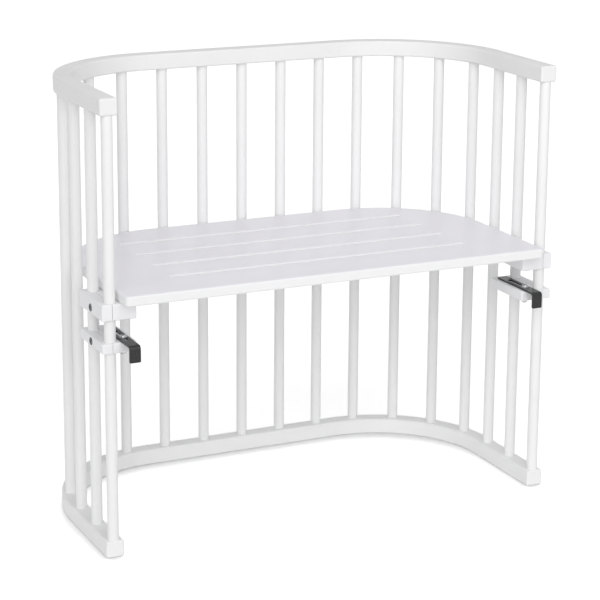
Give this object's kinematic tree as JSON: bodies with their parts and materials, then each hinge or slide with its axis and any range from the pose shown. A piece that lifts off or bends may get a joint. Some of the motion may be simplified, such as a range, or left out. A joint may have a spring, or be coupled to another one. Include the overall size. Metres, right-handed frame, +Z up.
{
  "type": "bedside sleeper crib",
  "caption": "U-shaped crib of round bars between bent rails, open towards the adult bed, with a slotted height-adjustable board on clamps and sliding hooks below it.",
  "frame": {"origin": "on the floor, under the middle of the whole crib's bounding box", "axes": "+Z up, +Y from the open front to the closed back, +X to the right seen from the open front"},
  "size_m": [0.8788, 0.475, 0.8],
  "materials": {
    "white_wood": "white satin lacquer",
    "plain_wood": "bare beech",
    "black_steel": "black powder coat, half matt",
    "zinc_steel": "zinc plated"
  },
  "bodies": {
    "frame": {"bar_01": "white_wood", "bar_02": "white_wood", "bar_03": "white_wood", "bar_04": "white_wood", "bar_05": "white_wood", "bar_06": "white_wood", "bar_07": "white_wood", "bar_08": "white_wood", "bar_09": "white_wood", "bar_10": "white_wood", "bar_11": "white_wood", "bar_12": "white_wood", "bar_13": "white_wood", "bar_14": "white_wood", "bar_15": "white_wood", "bar_16": "white_wood", "bar_17": "white_wood", "bar_18": "white_wood", "bar_19": "white_wood", "bottom_rail_back": "white_wood", "bottom_rail_dowels": "plain_wood", "bottom_rail_left": "white_wood", "bottom_rail_right": "white_wood", "top_rail_back": "white_wood", "top_rail_dowels": "plain_wood", "top_rail_left": "white_wood", "top_rail_right": "white_wood"},
    "board_carriage": {"board_screws": "zinc_steel", "lying_board": "white_wood", "upper_clamp_bolt_left": "black_steel", "upper_clamp_bolt_right": "black_steel", "upper_inner_strip_left": "white_wood", "upper_inner_strip_right": "white_wood", "upper_insert_left": "zinc_steel", "upper_insert_right": "zinc_steel", "upper_outer_strip_left": "white_wood", "upper_outer_strip_right": "white_wood"},
    "clamp_left": {"hook_bolt_left": "zinc_steel", "hook_nut_left": "zinc_steel", "hook_washer_left": "zinc_steel", "lower_clamp_bolt_left": "black_steel", "lower_inner_strip_left": "white_wood", "lower_insert_left": "zinc_steel", "lower_outer_strip_left": "white_wood", "nut_washer_left": "zinc_steel"},
    "hook_left_bar": {"hook_left": "black_steel"},
    "clamp_right": {"hook_bolt_right": "zinc_steel", "hook_nut_right": "zinc_steel", "hook_washer_right": "zinc_steel", "lower_clamp_bolt_right": "black_steel", "lower_inner_strip_right": "white_wood", "lower_insert_right": "zinc_steel", "lower_outer_strip_right": "white_wood", "nut_washer_right": "zinc_steel"},
    "hook_right_bar": {"hook_right": "black_steel"}
  },
  "joints": [
    {"name": "board_height", "type": "slide", "parent": "frame", "child": "board_carriage", "axis": [0, 0, 1], "range_m": [-0.02, 0.15]},
    {"name": "clamp_height_left", "type": "slide", "parent": "frame", "child": "clamp_left", "axis": [0, 0, 1], "range_m": [-0.3, 0]},
    {"name": "hook_reach_left", "type": "slide", "parent": "clamp_left", "child": "hook_left_bar", "axis": [0, -1, 0], "range_m": [-0.015, 0.041]},
    {"name": "clamp_height_right", "type": "slide", "parent": "frame", "child": "clamp_right", "axis": [0, 0, 1], "range_m": [-0.3, 0]},
    {"name": "hook_reach_right", "type": "slide", "parent": "clamp_right", "child": "hook_right_bar", "axis": [0, -1, 0], "range_m": [-0.002, 0.054]}
  ]
}
